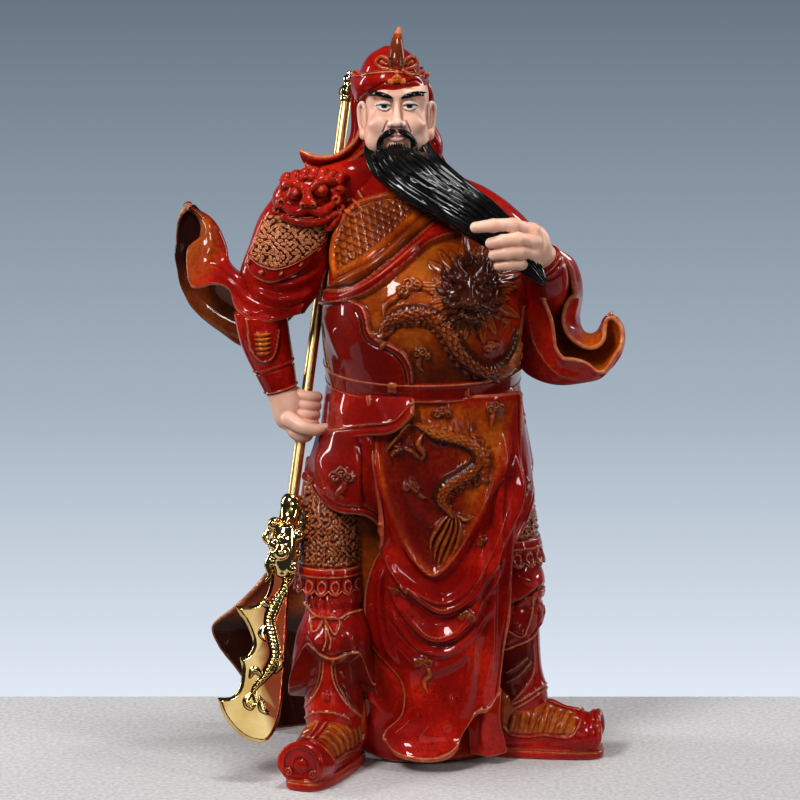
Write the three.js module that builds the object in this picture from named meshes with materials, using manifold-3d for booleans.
// A glazed ceramic statue of a bearded general who strokes his beard and holds a crescent-bladed
// polearm. The ceramic is one fired piece that stands on its shoes and hems. The gilt metal polearm
// is a separate piece: a shaft, a blade and a pommel, pushed down through the right fist.
// The frame is +Z up, with the front of the figure towards -Y and its left hand towards +X.
import * as THREE from "three";
import { mergeVertices } from "three/addons/utils/BufferGeometryUtils.js";
import Module from "manifold-3d";

const wasm = await Module();
wasm.setup();

// Driving sizes, in millimetres.
const FIGURE_HEIGHT = 480; // floor to the tip of the crest
const CLOTH_WALL = 3.4; // thickness of the thrown cloth: sleeves, tail and flaps
const BELT_WIDTH = 14;
const BELT_STAND = 2.2; // how far the belt stands out of the robe
const SHAFT_DIAMETER = 7.2;
const GRIP_CLEARANCE = 0.35; // between the shaft and everything ceramic, on the radius
const BLADE_THICKNESS = 4.2;
const COLLAR_DIAMETER = 15; // round collar between the shaft and the blade
const JOINT_GAP = 0.3; // between the shaft's ends and the pieces that cap it
const POMMEL_DIAMETER = 10;
const SOLE_HEIGHT = 5;

// The pose and the carving are kept as parts of the height: 480 parts from floor to crest.
const PARTS = 480;
const part = FIGURE_HEIGHT / PARTS;
const at = (x, y, z) => new THREE.Vector3(x, y, z).multiplyScalar(part);

const { PI, sin, cos, abs, max, min } = Math;
const lerp = (a, b, t) => a + (b - a) * t;
const clamp = (x) => min(1, max(0, x));
const step = (a, b, x) => {
  const t = clamp((x - a) / (b - a));
  return t * t * (3 - 2 * t);
};
const bump = (x, middle, width) => Math.exp(-(((x - middle) / width) ** 2));

// Rows of numbers [t, a, b, ...] read as smooth curves: the values a, b, ... at any t.
function along(rows, t) {
  const last = rows.length - 1;
  if (t <= rows[0][0]) return rows[0].slice(1);
  if (t >= rows[last][0]) return rows[last].slice(1);
  let i = 0;
  while (t > rows[i + 1][0]) i++;
  const [p, q] = [rows[i], rows[i + 1]];
  const [before, after] = [rows[max(0, i - 1)], rows[min(last, i + 2)]];
  const gap = q[0] - p[0];
  const s = (t - p[0]) / gap;
  const s2 = s * s;
  const s3 = s2 * s;
  return p.slice(1).map((_, k) => {
    const c = k + 1;
    const start = ((q[c] - before[c]) / (q[0] - before[0])) * gap;
    const end = ((after[c] - p[c]) / (after[0] - p[0])) * gap;
    return (
      p[c] * (2 * s3 - 3 * s2 + 1) +
      start * (s3 - 2 * s2 + s) +
      q[c] * (3 * s2 - 2 * s3) +
      end * (s3 - s2)
    );
  });
}

// Points spaced evenly by their order, so that a list without its own t can be read by along().
const spaced = (points) => points.map((p, i) => [i / (points.length - 1), ...p]);

function geometryOf(points, triangles) {
  const g = new THREE.BufferGeometry();
  const flat = points.flatMap((p) => [p.x, p.y, p.z]);
  g.setAttribute("position", new THREE.Float32BufferAttribute(flat, 3));
  g.setIndex(triangles);
  return g;
}

// Six times the signed volume: negative where the faces point inwards.
function signedVolume(points, triangles) {
  let sum = 0;
  for (let i = 0; i < triangles.length; i += 3) {
    const [a, b, c] = [0, 1, 2].map((k) => points[triangles[i + k]]);
    sum += a.dot(b.clone().cross(c));
  }
  return sum;
}

function solid(points, triangles) {
  if (signedVolume(points, triangles) < 0) triangles = triangles.toReversed();
  return solidOf(geometryOf(points, triangles));
}

function solidOf(geometry) {
  const bare = geometry.clone();
  bare.deleteAttribute("normal");
  bare.deleteAttribute("uv");
  const merged = mergeVertices(bare, 1e-4);
  return new wasm.Manifold(
    new wasm.Mesh({
      numProp: 3,
      vertProperties: new Float32Array(merged.attributes.position.array),
      triVerts: new Uint32Array(merged.index.array),
    }),
  );
}

// A closed skin over rings of equally many points, with a flat fan over each end.
function loft(rings) {
  const n = rings[0].length;
  const points = rings.flat();
  const triangles = [];
  for (let r = 0; r + 1 < rings.length; r++) {
    for (let i = 0; i < n; i++) {
      const [a, b] = [r * n + i, r * n + ((i + 1) % n)];
      triangles.push(a, b, b + n, a, b + n, a + n);
    }
  }
  const middle = (ring) =>
    ring.reduce((sum, p) => sum.add(p), new THREE.Vector3()).divideScalar(n);
  const [first, last] = [points.length, points.length + 1];
  const top = (rings.length - 1) * n;
  points.push(middle(rings[0]), middle(rings.at(-1)));
  for (let i = 0; i < n; i++) {
    const j = (i + 1) % n;
    triangles.push(first, j, i, last, top + i, top + j);
  }
  return solid(points, triangles);
}

// A level ring: half width a, reach to the front and to the back, and squareness e.
function levelRing([cx, cy, a, front, back], z, n, e = 2.3, shape = null) {
  const ring = [];
  for (let i = 0; i < n; i++) {
    const angle = (2 * PI * i) / n;
    const [dx, dy] = [cos(angle), sin(angle)];
    let r = 1 / (abs(dx) ** e + abs(dy) ** e) ** (1 / e);
    if (shape) r *= shape(angle, z);
    ring.push(at(cx + a * r * dx, cy + (dy < 0 ? front : back) * r * dy, z));
  }
  return ring;
}

// A round form along a path of rows [x, y, z, half width] or [x, y, z, half width, half height].
// The width lies across the path and square to up.
function limb(rows, sides, steps, up = [0, 0, 1], shape = null) {
  const path = spaced(rows);
  const upward = new THREE.Vector3(...up);
  const rings = [];
  for (let k = 0; k <= steps; k++) {
    const t = k / steps;
    const [x, y, z, w, h = w] = along(path, t);
    const [a, b] = [along(path, max(0, t - 0.02)), along(path, min(1, t + 0.02))];
    const ahead = new THREE.Vector3(b[0] - a[0], b[1] - a[1], b[2] - a[2]).normalize();
    const side = ahead.clone().cross(upward).normalize();
    const over = side.clone().cross(ahead);
    const ring = [];
    for (let i = 0; i < sides; i++) {
      const angle = (2 * PI * i) / sides;
      const r = shape ? shape(angle, t) : 1;
      const p = new THREE.Vector3(x, y, z)
        .addScaledVector(side, w * r * cos(angle))
        .addScaledVector(over, h * r * sin(angle));
      ring.push(p.multiplyScalar(part));
    }
    rings.push(ring);
  }
  return loft(rings);
}

// A slab of cloth: place(u, v) gives its outer face in parts, and the wall goes inwards from it.
function sheet(place, across, down, wall, inward = 1) {
  const points = [[], []];
  const vector = (u, v) => new THREE.Vector3(...place(clamp(u), clamp(v)));
  const small = 0.01;
  for (let j = 0; j <= down; j++) {
    for (let i = 0; i <= across; i++) {
      const [u, v] = [i / across, j / down];
      const p = vector(u, v);
      const du = vector(u + small, v).sub(vector(u - small, v));
      const dv = vector(u, v + small).sub(vector(u, v - small));
      const normal = du.cross(dv).normalize();
      points[0].push(p.clone().multiplyScalar(part));
      points[1].push(p.multiplyScalar(part).addScaledVector(normal, wall * inward));
    }
  }
  const row = across + 1;
  const count = row * (down + 1);
  const triangles = [];
  const quad = (a, b, c, d) => triangles.push(a, b, c, a, c, d);
  for (let j = 0; j < down; j++) {
    for (let i = 0; i < across; i++) {
      const a = j * row + i;
      quad(a, a + 1, a + 1 + row, a + row);
      quad(a + count, a + row + count, a + 1 + row + count, a + 1 + count);
    }
  }
  for (let i = 0; i < across; i++) {
    const foot = down * row + i;
    quad(i + 1, i, i + count, i + 1 + count);
    quad(foot, foot + 1, foot + 1 + count, foot + count);
  }
  for (let j = 0; j < down; j++) {
    const [a, b] = [j * row, j * row + across];
    quad(a, a + row, a + row + count, a + count);
    quad(b + row, b, b + count, b + row + count);
  }
  return solid(points.flat(), triangles);
}

// A rounded lump with half sizes rx, ry and rz, turned about Z and then tipped about Y.
function lump([x, y, z], [rx, ry, rz], turn = 0, tip = 0, around = 10, rows = 6) {
  const g = new THREE.SphereGeometry(part, around, rows);
  g.rotateX(PI / 2);
  g.scale(rx, ry, rz);
  g.rotateY((tip * PI) / 180);
  g.rotateZ((turn * PI) / 180);
  g.translate(x * part, y * part, z * part);
  return solidOf(g);
}

const join = (solids) => solids.reduce((all, s) => all.add(s));

// Torso: rows of height, centre x and y, half width, reach to the front and to the back.
const TORSO = [
  [236, 15, -10, 60, 60, 44],
  [250, 15, -10, 61, 65, 46],
  [268, 16, -11, 64, 72, 47],
  [290, 17, -12, 66, 77, 48],
  [312, 17, -12, 65, 75, 48],
  [334, 16, -11, 62, 64, 46],
  [352, 13, -9, 58, 50, 43],
  [368, 10, -6, 50, 38, 38],
  [380, 6, -4, 36, 29, 32],
  [391, 1, -5, 21, 22, 25],
  [404, 0, -8, 15, 17, 18],
];
const TORSO_SQUARE = 2.3;

// The torso's front face at x and z, where the reliefs are laid.
function torsoFront(x, z) {
  const [cx, cy, a, front] = along(TORSO, z);
  const share = min(1, abs((x - cx) / a));
  return cy - front * (1 - share ** TORSO_SQUARE) ** (1 / TORSO_SQUARE);
}

function torso() {
  const heights = [236, 252, 270, 291, 312, 334, 352, 368, 380, 392, 404];
  return loft(heights.map((z) => levelRing(along(TORSO, z), z, 20, TORSO_SQUARE)));
}

// A raised cord laid on the torso along points [x, z], sunk by half of its height.
function onTorso(points, width, height, sides = 6, steps = 12) {
  const rows = points.map(([x, z, scale = 1]) => [
    x,
    torsoFront(x, z) + 0.3 * height,
    z,
    width * scale,
    height,
  ]);
  return limb(rows, sides, steps, [0, -1, 0]);
}

// The belt round the waist, lower in front than behind, with an oval button.
const BELT_HEIGHT = 254;
function belt() {
  const stand = BELT_STAND / part;
  const wide = BELT_WIDTH / part;
  const [cx, cy, a, front, back] = along(TORSO, BELT_HEIGHT);
  const rings = [-0.5, -0.32, 0.32, 0.5].map((share) => {
    const out = abs(share) > 0.4 ? 0 : stand;
    const row = [cx, cy, a + out, front + out, back + out];
    const ring = levelRing(row, BELT_HEIGHT, 20, TORSO_SQUARE);
    for (const p of ring) {
      const forward = clamp(-p.y / part / (front - cy));
      p.z += share * BELT_WIDTH - 4 * forward * part;
    }
    return ring;
  });
  const button = [31, torsoFront(31, 249) - stand, 250];
  return join([loft(rings), lump(button, [4.6, 2.4, 0.22 * wide], 0, 0, 6, 4)]);
}

// The breast: a slanting band from the left shoulder to the right flank, with a plate above it inside
// a rim, and the edge of the overcoat that crosses the flank below it.
function breast() {
  return join([
    onTorso([[-42, 322], [-24, 318], [-4, 326], [14, 341], [28, 358]], 7, 3.2, 5, 7),
    onTorso([[-42, 320], [-38, 350], [-26, 366], [-4, 372]], 3.2, 3.4, 5, 6),
    onTorso([[-40, 306], [-12, 304], [12, 320], [32, 344]], 3, 3, 4, 6),
    onTorso([[-30, 303], [-20, 284], [-4, 274], [4, 262]], 2, 2.4, 4, 5),
  ]);
}

// The belly plate carries a dragon: its head in a mane of flames, and its body winding below.
const DRAGON_HEAD = [51, 308];
const FLAMES = 8;
function bellyDragon() {
  const [hx, hz] = DRAGON_HEAD;
  const y = torsoFront(hx, hz);
  const body = [[2, 286, 0.6], [14, 294], [28, 290], [38, 276], [52, 263], [66, 262], [76, 274, 0.6]];
  // Rings of the mane: reach at the flames' tips and between them, and height off the belly.
  const star = [
    [31, 20, -3],
    [31, 20, 1],
    [21, 17, 5],
    [12, 12, 9],
  ];
  const rings = star.map(([tip, root, rise]) =>
    Array.from({ length: 2 * FLAMES }, (_, i) => {
      const angle = (PI * i) / FLAMES;
      const reach = i % 2 ? root : tip;
      const [x, z] = [hx + reach * cos(angle), hz + 1.1 * reach * sin(angle)];
      return at(x, torsoFront(x, z) - rise, z);
    }),
  );
  return join([
    loft(rings),
    lump([hx - 1, y - 7, hz - 5], [8, 6, 7], 15, 0, 6, 4),
    onTorso(body, 6, 4, 4, 8),
  ]);
}

// A cloth given by a few curves [x, y, z] that it passes through from its root to its free edge.
function drape(curves, across, down, wall, inward) {
  const lines = curves.map(spaced);
  const place = (u, v) => along(spaced(lines.map((line) => along(line, u))), v);
  return sheet(place, across, down, wall, inward);
}

const middleOf = (a, b, [dx, dy, dz]) =>
  a.map((p, i) => [0, 1, 2].map((k) => (p[k] + b[i][k]) / 2 + [dx, dy, dz][k]));

// Left arm, raised to the beard, with the wide sleeve hanging open from it. The sleeve is two cloths,
// outer and inner, joined at the seam below the forearm.
const LEFT_UPPER_ARM = [
  [26, -5, 372, 15, 15],
  [46, -8, 360, 19, 19],
  [62, -10, 345, 22, 20],
  [78, -10, 325, 23, 20],
  [92, -12, 304, 21, 19],
  [98, -16, 290, 15, 15],
];
const LEFT_FOREARM = [
  [97, -14, 292, 15],
  [101, -36, 308, 16],
  [99, -52, 325, 15],
  [92, -68, 337, 10.5],
];
const LEFT_SEAM = [
  [85, -60, 333],
  [93, -40, 316],
  [98, -20, 301],
  [102, -6, 282],
  [108, -4, 272],
  [118, -10, 268],
  [128, -18, 274],
  [134, -22, 285],
  [138, -26, 293],
];
const LEFT_OUTER_FOLD = [
  [95, -57, 341],
  [105, -42, 333],
  [113, -32, 319],
  [115, -26, 305],
  [115, -24, 293],
  [118, -24, 284],
  [125, -27, 281],
  [130, -28, 288],
  [135, -29, 295],
];
const LEFT_OUTER_RIM = [
  [95, -60, 341],
  [105, -54, 333],
  [110, -50, 320],
  [108, -50, 306],
  [109, -49, 293],
  [115, -45, 284],
  [124, -41, 282],
  [131, -37, 288],
  [135, -35, 296],
];
const LEFT_INNER_RIM = [
  [84, -66, 311],
  [77, -67, 298],
  [71, -61, 276],
  [81, -57, 260],
  [103, -56, 253],
  [125, -50, 256],
  [140, -44, 269],
  [146, -38, 281],
  [142, -32, 293],
];

function leftArm() {
  const under = middleOf(LEFT_SEAM, LEFT_INNER_RIM, [0, 3, -8]);
  const curves = [LEFT_OUTER_RIM, LEFT_OUTER_FOLD, LEFT_SEAM, under, LEFT_INNER_RIM];
  return join([
    limb(LEFT_UPPER_ARM, 10, 4, [0, -1, 0]),
    limb(LEFT_FOREARM, 8, 3),
    drape(curves, 9, 6, CLOTH_WALL, -1),
  ]);
}

// Right arm, akimbo, with its hand round the shaft and the sleeve thrown out behind it. The ridge is
// where the near and the far cloth of the sleeve meet.
const RIGHT_UPPER_ARM = [
  [-36, -10, 374, 15, 15],
  [-56, -16, 366, 21, 19],
  [-67, -20, 350, 25, 20],
  [-73, -21, 332, 26, 20],
  [-79, -23, 314, 26, 18],
  [-82, -25, 299, 20, 17],
];
const RIGHT_FOREARM = [
  [-86, -26, 300, 15, 15],
  [-85, -27, 280, 14.5, 14.5],
  [-81, -27, 262, 12.5, 12.5],
  [-77, -26, 246, 10.5, 10.5],
];
const RIGHT_RIDGE = [
  [-139, 9, 364],
  [-131, 6, 360],
  [-124, 2, 356],
  [-118, -2, 349],
  [-113, -6, 338],
  [-111, -10, 328],
  [-105, -14, 322],
  [-95, -18, 318],
  [-83, -22, 314],
  [-66, -24, 310],
];
const RIGHT_NEAR_RIM = [
  [-137, 3, 361],
  [-131, 0, 353],
  [-131, -5, 344],
  [-138, -11, 336],
  [-135, -22, 315],
  [-121, -28, 317],
  [-110, -33, 313],
  [-103, -39, 300],
  [-85, -43, 294],
  [-65, -37, 298],
];
const RIGHT_FAR_RIM = [
  [-142, 12, 363],
  [-146, 14, 358],
  [-148, 17, 347],
  [-148, 19, 327],
  [-142, 18, 305],
  [-131, 15, 292],
  [-118, 10, 282],
  [-102, 4, 272],
  [-84, -4, 279],
  [-66, -20, 297],
];

function rightArm() {
  const near = middleOf(RIGHT_RIDGE, RIGHT_NEAR_RIM, [2, -6, 0]);
  const far = middleOf(RIGHT_RIDGE, RIGHT_FAR_RIM, [0, 7, 0]);
  const curves = [RIGHT_NEAR_RIM, near, RIGHT_RIDGE, far, RIGHT_FAR_RIM];
  return join([
    limb(RIGHT_UPPER_ARM, 10, 4, [0, -1, 0]),
    limb(RIGHT_FOREARM, 8, 3, [0, -1, 0]),
    drape(curves, 10, 4, CLOTH_WALL, -1),
  ]);
}

// The beast's mask on the right shoulder, with a curved guard plate hung below it.
const GUARD_EDGE = [
  [-100, -33, 330],
  [-93, -41, 323],
  [-82, -46, 320],
  [-70, -45, 324],
  [-58, -42, 332],
  [-48, -37, 343],
];
const GUARD_ROOT = [
  [-86, -28, 352],
  [-79, -34, 351],
  [-71, -38, 351],
  [-62, -38, 352],
  [-53, -36, 354],
  [-44, -30, 358],
];
function shoulderGuard() {
  return join([
    drape([GUARD_ROOT, middleOf(GUARD_ROOT, GUARD_EDGE, [0, -3, 0]), GUARD_EDGE], 5, 2, 5, 1),
    lump([-60, -24, 370], [22, 17, 15], 20, 0, 8, 4),
    lump([-66, -38, 376], [8, 8, 6], 0, 20, 6, 4),
    lump([-49, -36, 376], [10, 8, 7], 0, -20, 6, 4),
    lump([-62, -43, 368], [7, 6, 6], 0, 0, 6, 4),
    lump([-79, -33, 369], [6, 6, 7], 0, 0, 6, 4),
    lump([-73, -38, 360], [8, 6, 5], 0, 20, 6, 4),
    lump([-50, -40, 362], [9, 6, 5], 0, -10, 6, 4),
    lump([-40, -33, 374], [7, 4, 4], 30, -30, 6, 4),
    lump([-41, -34, 357], [5, 4, 5], 0, 0, 6, 4),
  ]);
}

// The head: the face, the cap with its horn and turned-up eaves, and the hood that falls behind.
const HEAD = [
  [398, -2, -34, 12, 12, 15],
  [408, -2, -30, 18, 19, 21],
  [421, -2, -27, 21, 23, 26],
  [436, -3, -25, 21, 22, 27],
  [448, -3, -22, 17, 17, 23],
];
const DOME = [
  [440, -5, -17, 21, 22, 25],
  [455, -6, -16, 18.5, 19, 23],
  [463, -6, -14, 13, 13.5, 17],
  [468, -5, -13, 5, 5, 7],
];
const HOOD = [
  [454, -5, -4, 20, 8, 16],
  [436, -5, 1, 26, 10, 22],
  [410, -5, 5, 27, 10, 26],
  [394, -6, 6, 34, 12, 26],
  [382, -8, 8, 44, 14, 26],
];
const HOOD_CURL_UP = [
  [-25, -6, 420],
  [-30, -11, 408],
  [-38, -15, 401],
  [-46, -16, 398],
  [-55, -15, 398],
  [-63, -12, 401],
];
const HOOD_CURL_ROOT = [
  [-24, 4, 412],
  [-30, 4, 400],
  [-38, 4, 394],
  [-46, 2, 391],
  [-54, 0, 390],
  [-62, -4, 392],
];
const HOOD_CURL_FRONT = [
  [-22, -12, 400],
  [-30, -15, 393],
  [-38, -17, 388],
  [-46, -16, 386],
  [-54, -13, 386],
  [-61, -9, 389],
];
const ringsOf = (rows, n, e) => rows.map(([z, ...r]) => levelRing(r, z, n, e));

// The cap's front band: a curved plate that rises to a point on each side.
function capBand() {
  const place = (u, v) => {
    const side = 2 * u - 1;
    const x = -5 + 22 * sin(1.45 * side) + 3 * side ** 5 * v;
    const y = -19 - 27.5 * cos(1.45 * side);
    const foot = 441 - 8 * abs(side) ** 2;
    const crown = 455 - 6 * abs(side) ** 1.5 + 4 * step(0.7, 1, abs(side));
    return [x, y, lerp(foot, crown, v)];
  };
  return sheet(place, 10, 1, 5, -1);
}

function head() {
  const loops = (side) => [
    [-2 + side * 3, -43, 453, 2],
    [-2 + side * 12, -41, 459, 2.4],
    [-2 + side * 15, -37, 455, 2.4],
    [-2 + side * 6, -43, 449, 2],
  ];
  const nose = [[-2, -44, 434, 2.4, 3], [-2, -47, 427, 2.6, 4], [-2, -49, 419, 4, 5]];
  const brow = [[-17, -41, 431, 2.5], [-2, -47, 428, 3], [13, -41, 431, 2.5]];
  const horn = [[-2, -38, 452, 4.4], [-2, -38, 460, 5], [-2, -34, 470, 4], [-1, -27, 480, 1.2]];
  return join([
    loft(ringsOf(HEAD, 12, 2.2)),
    loft(ringsOf(DOME, 12, 2)),
    loft(ringsOf(HOOD, 12, 2.4)),
    capBand(),
    limb(nose, 5, 2, [0, -1, 0]),
    limb(brow, 4, 4),
    lump([-23, -20, 421], [3.4, 5, 12], -20, 0, 6, 4),
    lump([18.5, -20, 421], [3.4, 5, 12], 20, 0, 6, 4),
    limb(horn, 6, 4, [0, 1, 0]),
    lump([-1.5, -47, 448], [5.4, 3.4, 3.6], 0, 0, 6, 4),
    limb(loops(-1), 4, 3, [0, -1, 0]),
    limb(loops(1), 4, 3, [0, -1, 0]),
    drape([HOOD_CURL_UP, HOOD_CURL_ROOT, HOOD_CURL_FRONT], 6, 3, CLOTH_WALL, 1),
    limb([[17, 2, 412, 7, 6], [19, 0, 401, 8, 7], [18, -3, 391, 5, 5]], 6, 2, [0, -1, 0]),
  ]);
}

// The beard: from the jaw across the breast to the left hand, which holds its end.
const BEARD = [
  [-2, -40, 408, 19, 10],
  [2, -52, 398, 19, 13],
  [13, -62, 387, 16, 14],
  [30, -73, 375, 13.5, 13],
  [50, -83, 363, 12, 12],
  [68, -86, 350, 11, 10],
  [80, -84, 336, 8, 7],
  [91, -80, 322, 2, 2],
];

function beard() {
  const locks = (angle) => 1 + 0.08 * cos(5 * angle);
  const sideLock = [[14, -36, 410, 4], [20, -44, 400, 4], [44, -66, 380, 5], [64, -72, 364, 3]];
  return join([
    limb(BEARD, 9, 8, [0.3, -0.7, 0.6], locks),
    limb([[-14, -42, 410, 3.4], [-9, -49, 415, 3], [-2, -50, 416, 2]], 5, 2),
    limb([[10, -42, 410, 3.4], [5, -49, 415, 3], [-2, -50, 416, 2]], 5, 2),
    limb([[-21, -28, 408, 4], [-21, -40, 396, 5], [-8, -56, 382, 2.5]], 5, 3, [0, -1, 0]),
    limb(sideLock, 5, 4, [0, -1, 0.4]),
  ]);
}

// The left hand, laid on the beard with the fingers towards the right.
function leftHand() {
  const finger = (rows) => limb(rows, 5, 2, [0, -1, 0]);
  return join([
    lump([81, -80, 344], [13, 8, 15], -12, 20, 8, 5),
    finger([[80, -86, 356, 4.6], [64, -94, 359, 4.2], [47, -97, 359, 3.2]]),
    finger([[80, -88, 350, 4.6], [68, -96, 350, 4.4], [57, -97, 349, 3.6]]),
    finger([[80, -87, 342, 4.6], [70, -95, 342, 4.4], [59, -96, 341.5, 3.6]]),
    finger([[80, -84, 335, 4.4], [72, -91, 334.5, 4.2], [62, -93, 334, 3.4]]),
    limb([[84, -76, 340, 12, 8], [92, -68, 337, 11, 10]], 8, 1),
  ]);
}

// The polearm's line: its middle at the height of the fist, and its lean.
const GRIP = [-62.5, -26, 231];
const LEAN = new THREE.Vector3(0.134, 0.307, 1).normalize();
const SHAFT_TOP = 436; // in parts, like the two below
const SHAFT_FOOT = 168;
const SOCKET_DEPTH = 12;
const onShaft = (z) => {
  const s = (z - GRIP[2]) / LEAN.z;
  return [GRIP[0] + LEAN.x * s, GRIP[1] + LEAN.y * s, z];
};

// A straight round rod along the polearm's line, between two heights. Its radius is in millimetres.
function rod(bottom, top, radius, sides = 12) {
  const ends = [onShaft(bottom), onShaft(top)].map((p) => at(...p));
  const side = LEAN.clone().cross(new THREE.Vector3(0, 0, 1)).normalize();
  const over = side.clone().cross(LEAN);
  const ringAround = (middle) =>
    Array.from({ length: sides }, (_, i) => {
      const angle = (2 * PI * i) / sides;
      const spoke = side.clone().multiplyScalar(radius * cos(angle));
      return middle.clone().add(spoke).addScaledVector(over, radius * sin(angle));
    });
  return loft(ends.map(ringAround));
}

// The right fist: the palm, four fingers round the shaft and the thumb across it below them.
function rightHand() {
  const wrap = SHAFT_DIAMETER / 2 / part + 3.4;
  const [, , gz] = GRIP;
  const solids = [
    lump([-71, -27, gz], [9, 9, 12], 0, 10, 6, 4),
    lump([-62, -30, gz - 13], [8, 8, 6], 0, 20, 6, 4),
    limb([[-77, -26, 250, 9.5, 9.5], [-73, -26, 238, 10, 9]], 6, 1, [0, -1, 0]),
  ];
  for (let i = 0; i < 4; i++) {
    const z = gz + 11 - 5.4 * i;
    const [x, y] = onShaft(z);
    const rows = [190, 255, 320, 385].map((degrees, k) => {
      const angle = (degrees * PI) / 180;
      return [x + wrap * cos(angle), y + wrap * sin(angle), z - 0.8 * k, 3.3];
    });
    solids.push(limb(rows, 4, 3));
  }
  const thumb = [[-70, -36, gz - 4, 4.6], [-60, -41, gz - 7, 4.2], [-50, -39, gz - 8, 3.2]];
  solids.push(limb(thumb, 5, 2));
  return join(solids);
}

// The robe below the belt: a core that reaches the floor, with folds that deepen downwards.
const ROBE = [
  [242, 15, -10, 59, 60, 43],
  [214, 15, -8, 60, 54, 46],
  [180, 15, -4, 57, 48, 50],
  [140, 16, 0, 54, 44, 53],
  [90, 18, 4, 52, 42, 55],
  [40, 20, 6, 50, 46, 57],
  [0, 21, 8, 50, 56, 57],
];

function robe() {
  const folds = (angle, z) => {
    const depth = 0.06 * step(240, 60, z) * step(-0.6, 0.3, sin(angle));
    return 1 + depth * cos(9 * angle);
  };
  return loft(ROBE.map(([z, ...r]) => levelRing(r, z, 27, 2.2, folds)));
}

// The skirts of the coat below the belt: they end in front beside the apron and go round the back.
const COAT_FRONT = [-1.7, -0.52 - 2 * PI];
const COAT_HEM = [
  [0, 240],
  [0.03, 229],
  [0.09, 225],
  [0.16, 219],
  [0.24, 213],
  [0.5, 208],
  [0.76, 213],
  [0.9, 221],
  [0.97, 228],
  [1, 236],
];
function coat() {
  const place = (u, v) => {
    const angle = lerp(COAT_FRONT[0], COAT_FRONT[1], u);
    const [hem] = along(COAT_HEM, u);
    const [cx, cy, a, front, back] = along(TORSO, 250);
    const r = 1 / (abs(cos(angle)) ** 2.3 + abs(sin(angle)) ** 2.3) ** (1 / 2.3);
    const flare = BELT_STAND / part + 4 * v;
    const [reach, forward] = sin(angle) < 0 ? [front, -sin(angle)] : [back, 0];
    const z = lerp(252 - 4 * forward, hem, v);
    return [cx + (a + flare) * r * cos(angle), cy + (reach + flare) * r * sin(angle), z];
  };
  return sheet(place, 20, 1, CLOTH_WALL + 1, -1);
}

// The apron in front: its left and right edge by height, and the height of its hem across it.
const APRON_EDGES = [
  [7, -9, 64],
  [23, -10, 64],
  [33, 0, 64],
  [44, 3, 64],
  [55, 2, 65],
  [65, -5, 66],
  [76, -15, 67],
  [86, -21, 67.5],
  [103, -23, 68.5],
  [120, -22, 70],
  [137, -17, 72],
  [151, -10, 73],
  [167, -10, 74],
  [193, -15, 76],
  [219, -18, 78],
  [247, -20, 78],
];
const APRON_HEM = [
  [0, 17],
  [0.15, 9],
  [0.4, 7],
  [0.6, 9],
  [0.72, 17],
  [0.8, 30],
  [0.9, 38],
  [1, 45],
];
const APRON_FRONT = [
  [0, -74],
  [10, -70],
  [24, -64],
  [60, -61],
  [120, -65],
  [180, -70],
  [247, -73],
];
// Each swag: how far down it hangs, as a share of the apron's drop, and how deep its fold is.
const SWAGS = [
  [0.3, 1.5],
  [0.46, 3.5],
  [0.57, 4],
  [0.66, 4],
  [0.79, 3],
];

// The rows of the apron sag with the swags, so that each fold runs along one row.
function apronPoint(u, v) {
  const [hem] = along(APRON_HEM, u);
  const lift = 0.8 * (2 * u - 1) ** 2 * v * (1 - v);
  const z = lerp(247, hem, v - lift);
  const [left, right] = along(APRON_EDGES, z);
  const [base] = along(APRON_FRONT, z);
  const inside = step(0, 0.2, u) * step(1, 0.8, u);
  let y = base + 24 * abs(2 * u - 1) ** 3;
  for (const [level, depth] of SWAGS) {
    y -= depth * inside * (bump(v, level, 0.022) - 0.5 * bump(v, level - 0.045, 0.025));
  }
  return [lerp(left, right, u), y, z];
}

function apron() {
  const rows = [0, 0.14, 0.255, 0.3, 0.35, 0.415, 0.46, 0.485, 0.525, 0.57, 0.595, 0.62, 0.66];
  rows.push(0.69, 0.745, 0.79, 0.83, 0.91, 1);
  const columns = [0, 0.09, 0.22, 0.36, 0.5, 0.64, 0.78, 0.91, 1];
  const rings = rows.map((v) => {
    const ring = columns.map((u) => at(...apronPoint(u, v)));
    const [first, last] = [apronPoint(0, v), apronPoint(1, v)];
    ring.push(at(last[0] - 4, last[1] + 22, last[2]), at(first[0] + 4, first[1] + 22, first[2]));
    return ring;
  });
  return loft(rings);
}

// The flaps of the robe beside the apron, each hung from the belt and cut away over the thigh.
const RIGHT_FLAP_TOP = [
  [-52, -26, 228],
  [-46, -38, 229],
  [-38, -48, 230],
  [-28, -56, 230],
  [-19, -61, 230],
  [-12, -65, 230],
];
const RIGHT_FLAP_EDGE = [
  [-64, -14, 186],
  [-57, -27, 178],
  [-47, -40, 169],
  [-36, -50, 166],
  [-22, -60, 166],
  [-10, -66, 158],
];
const LEFT_FLAP_TOP = [
  [72, -52, 232],
  [77, -42, 232],
  [80, -30, 232],
  [81, -16, 232],
];
const LEFT_FLAP_EDGE = [
  [72, -56, 148],
  [78, -46, 160],
  [84, -32, 176],
  [90, -12, 196],
];

function flaps() {
  return join([
    drape([RIGHT_FLAP_TOP, RIGHT_FLAP_EDGE], 5, 2, CLOTH_WALL + 2, 1),
    drape([LEFT_FLAP_TOP, LEFT_FLAP_EDGE], 3, 2, CLOTH_WALL + 2, 1),
  ]);
}

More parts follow.
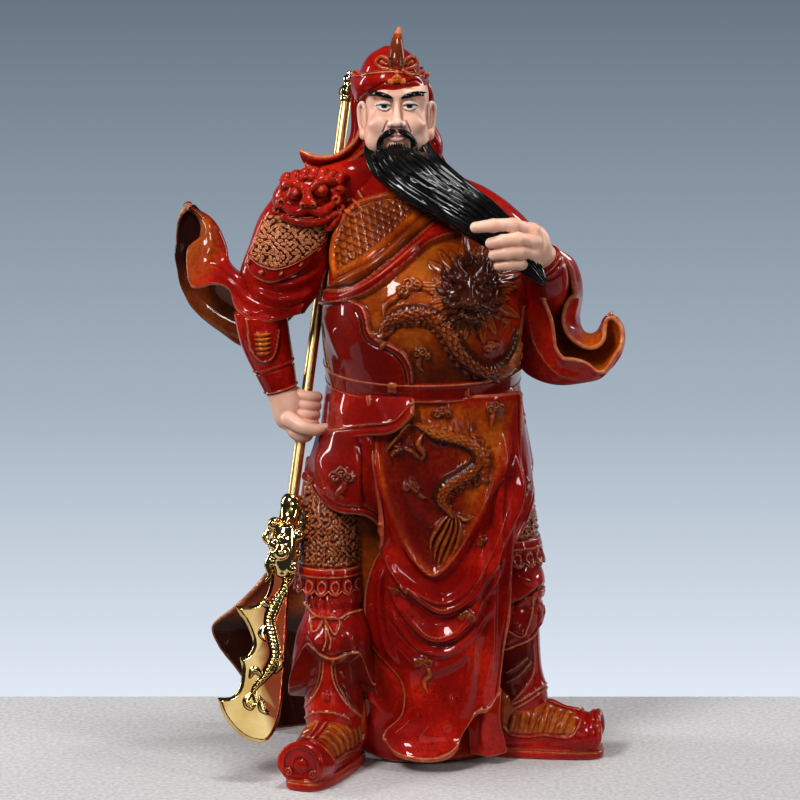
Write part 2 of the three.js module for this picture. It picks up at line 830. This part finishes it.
// The long tail of the robe, thrown out to the right and back, with its lining to the front.
const TAIL_EDGE = [
  [-62, 0, 196],
  [-66, 4, 168],
  [-71, 12, 143],
  [-84, 22, 123],
  [-96, 30, 105],
  [-112, 40, 87],
  [-127, 48, 72],
  [-123, 47, 57],
  [-110, 44, 40],
  [-96, 40, 20],
  [-88, 37, 1],
];
const TAIL_ROOT = [
  [-24, 24, 200],
  [-26, 26, 174],
  [-24, 30, 148],
  [-22, 34, 126],
  [-20, 38, 106],
  [-18, 42, 84],
  [-18, 44, 64],
  [-16, 44, 46],
  [-14, 44, 30],
  [-14, 44, 14],
  [-14, 44, 1],
];
function tail() {
  const sag = middleOf(TAIL_ROOT, TAIL_EDGE, [0, 12, 0]);
  return drape([TAIL_EDGE, sag, TAIL_ROOT], 9, 3, CLOTH_WALL, 1);
}

// Thigh guards with a band and a fringe of tabs.
function thighGuard([x, y], lean, width) {
  const guard = [
    [196, 0.86, 22],
    [134, 1.02, 26],
    [131, 1.1, 28],
    [125, 1.04, 27],
    [116, 1.15, 29],
  ];
  const rings = guard.map(([z, share, reach]) => {
    const shift = (196 - z) * lean;
    const pleats = (angle) => (z < 119 ? 1 + 0.05 * cos(7 * angle) : 1);
    return levelRing([x + shift, y, width * share, reach, reach * 0.8], z, 14, 2.2, pleats);
  });
  return loft(rings);
}

// A leg below the guard: gathered trousers tied at the knee over a boot, down to the ankle.
const RIGHT_LEG = [
  [-44, -40, 120, 19, 20],
  [-43, -42, 108, 20, 22],
  [-42, -46, 96, 22, 23],
  [-41, -48, 84, 23, 24],
  [-44, -50, 68, 24, 24],
  [-45, -54, 57, 26, 24],
  [-45, -58, 44, 21, 22],
  [-44, -60, 32, 17, 21],
  [-42, -60, 18, 16, 20],
];
const LEFT_LEG = [
  [74, -20, 122, 18, 20],
  [74, -20, 110, 17, 19],
  [75, -20, 96, 19, 21],
  [74, -20, 82, 18, 20],
  [74, -18, 70, 17, 19],
  [76, -17, 58, 18, 18],
  [80, -16, 46, 18, 17],
  [84, -15, 32, 17, 16],
  [86, -14, 18, 15, 15],
];

// A shoe along its own line: rows of distance from the heel, half width and height.
const SHOE = [
  [0, 9, 22],
  [20, 17, 38],
  [40, 17, 31],
  [56, 18, 24],
  [67, 19, 22],
  [73, 16, 31],
  [77, 13, 29],
];
function shoe([x, y], degrees, stretch) {
  const angle = (degrees * PI) / 180;
  const [fx, fy] = [cos(angle) * stretch, sin(angle) * stretch];
  const place = (forward, side, z) => at(x + forward * fx - side * fy, y + forward * fy + side * fx, z);
  const sole = SOLE_HEIGHT / part;
  const rings = SHOE.map(([forward, half, height]) => {
    const side = [
      [half + 2, 0],
      [half + 2, sole],
      [half, sole + 1],
      [half * 0.95, height * 0.6],
      [half * 0.5, height * 0.94],
    ];
    const other = side.toReversed().map(([across, z]) => [-across, z]);
    return [...side, ...other].map(([across, z]) => place(forward, across, z));
  });
  return loft(rings);
}

function legs() {
  return join([
    thighGuard([-44, -34], -0.03, 20),
    thighGuard([66, -18], 0.1, 20),
    limb(RIGHT_LEG, 9, 7, [0, -1, 0]),
    limb(LEFT_LEG, 9, 7, [0, -1, 0]),
    shoe([-38, -43], -112, 0.92),
    shoe([68, -16], 3, 0.89),
  ]);
}

// The crescent blade in its own plane: rows of distance down from the collar and out to the right.
const BLADE_EDGE = [
  [0, 5],
  [14, 7],
  [32, 8],
  [45, 7],
  [53, 7.8],
  [59, 11],
  [62.6, 15.5],
  [63.6, 21],
  [64.5, 27],
  [69, 24],
  [73, 20],
  [79, 16],
  [86, 12.8],
  [91, 13],
  [95.4, 15.7],
  [97.2, 20],
  [105, 17.3],
  [116, 17.6],
  [122.6, 22],
  [124.5, 30.5],
  [132.4, 27],
  [140, 21],
  [147, 11.5],
  [149.2, 2.5],
  [147, -4],
  [139.5, -8.5],
  [127.7, -10.5],
  [112, -10],
  [85, -8],
  [60, -6],
  [30, -5],
  [0, -5],
];
const BEVEL = 1.1;

// A flat plate with the given outline and both faces set in by a bevel.
function bevelled(shape, thickness, bevel, place) {
  const outline = THREE.ShapeUtils.isClockWise(shape) ? shape.toReversed() : shape;
  const n = outline.length;
  const inset = outline.map((p, i) => {
    const run = outline[(i + 1) % n].clone().sub(outline[(i + n - 1) % n]).normalize();
    return p.clone().add(new THREE.Vector2(-run.y, run.x).multiplyScalar(bevel));
  });
  const half = thickness / 2;
  const levels = [
    [inset, -half],
    [outline, bevel - half],
    [outline, half - bevel],
    [inset, half],
  ];
  const points = levels.flatMap(([ring, depth]) => ring.map((p) => place(p.x, p.y, depth)));
  const triangles = [];
  for (let r = 0; r < 3; r++) {
    for (let i = 0; i < n; i++) {
      const [a, b] = [r * n + i, r * n + ((i + 1) % n)];
      triangles.push(a, b, b + n, a, b + n, a + n);
    }
  }
  for (const [a, b, c] of THREE.ShapeUtils.triangulateShape(inset, [])) {
    triangles.push(a, c, b, a + 3 * n, b + 3 * n, c + 3 * n);
  }
  return solid(points, triangles);
}

function blade() {
  const collar = at(...onShaft(SHAFT_FOOT));
  const down = LEAN.clone().negate();
  const left = new THREE.Vector3(-1, 0, 0).addScaledVector(LEAN, LEAN.x).normalize();
  const out = down.clone().cross(left);
  const place = (s, w, d) =>
    collar.clone().addScaledVector(down, s).addScaledVector(left, w).addScaledVector(out, d);
  const outline = BLADE_EDGE.map(([s, w]) => new THREE.Vector2(s * part, w * part));
  const knob = (s, w, d, r) => {
    const middle = place(s * part, w * part, d * part).divideScalar(part);
    return lump(middle.toArray(), [r, r, r], 0, 0, 6, 4);
  };
  return join([
    bevelled(outline, BLADE_THICKNESS, BEVEL, place),
    rod(SHAFT_FOOT - 22, SHAFT_FOOT + 6, COLLAR_DIAMETER / 2),
    knob(7, 11, -2, 6),
    knob(21, 9, -2, 5),
    knob(26, 1, -3, 8),
    knob(13, -7, -2, 6),
    knob(36, -7, -2, 4.5),
  ]);
}

// Three balls over the shaft's upper end, each smaller than the one below.
function pommel() {
  const balls = [0, 5, 9].map((rise, i) => {
    const r = (POMMEL_DIAMETER / 2 - 0.9 * i) / part;
    return lump(onShaft(SHAFT_TOP + rise), [r, r, r], 0, 0, 8, 4);
  });
  return join(balls);
}

const radius = SHAFT_DIAMETER / 2;
const shaftEnds = [SHAFT_FOOT - SOCKET_DEPTH, SHAFT_TOP];
const gap = JOINT_GAP / part;
const channel = rod(SHAFT_FOOT - 40, SHAFT_TOP + 20, radius + GRIP_CLEARANCE);
const bore = rod(shaftEnds[0] - gap, shaftEnds[1] + gap, radius + JOINT_GAP);

const ceramic = join([
  torso(),
  belt(),
  breast(),
  bellyDragon(),
  leftArm(),
  rightArm(),
  shoulderGuard(),
  head(),
  beard(),
  leftHand(),
  rightHand(),
  robe(),
  coat(),
  apron(),
  flaps(),
  tail(),
  legs(),
]).subtract(channel);

function meshOf(manifold, name, color, roughness, metalness) {
  const m = manifold.getMesh();
  const g = new THREE.BufferGeometry();
  g.setAttribute("position", new THREE.Float32BufferAttribute(m.vertProperties, 3));
  g.setIndex(new THREE.BufferAttribute(m.triVerts, 1));
  const mesh = new THREE.Mesh(g, new THREE.MeshStandardMaterial({ color, roughness, metalness }));
  mesh.name = name;
  return mesh;
}

const group = new THREE.Group();
group.add(
  meshOf(ceramic, "figure", 0x8c1410, 0.15, 0),
  meshOf(rod(...shaftEnds, radius), "polearm_shaft", 0xc9a227, 0.2, 1),
  meshOf(blade().subtract(bore), "polearm_blade", 0xc9a227, 0.2, 1),
  meshOf(pommel().subtract(bore), "polearm_pommel", 0xc9a227, 0.2, 1),
);
export default group;
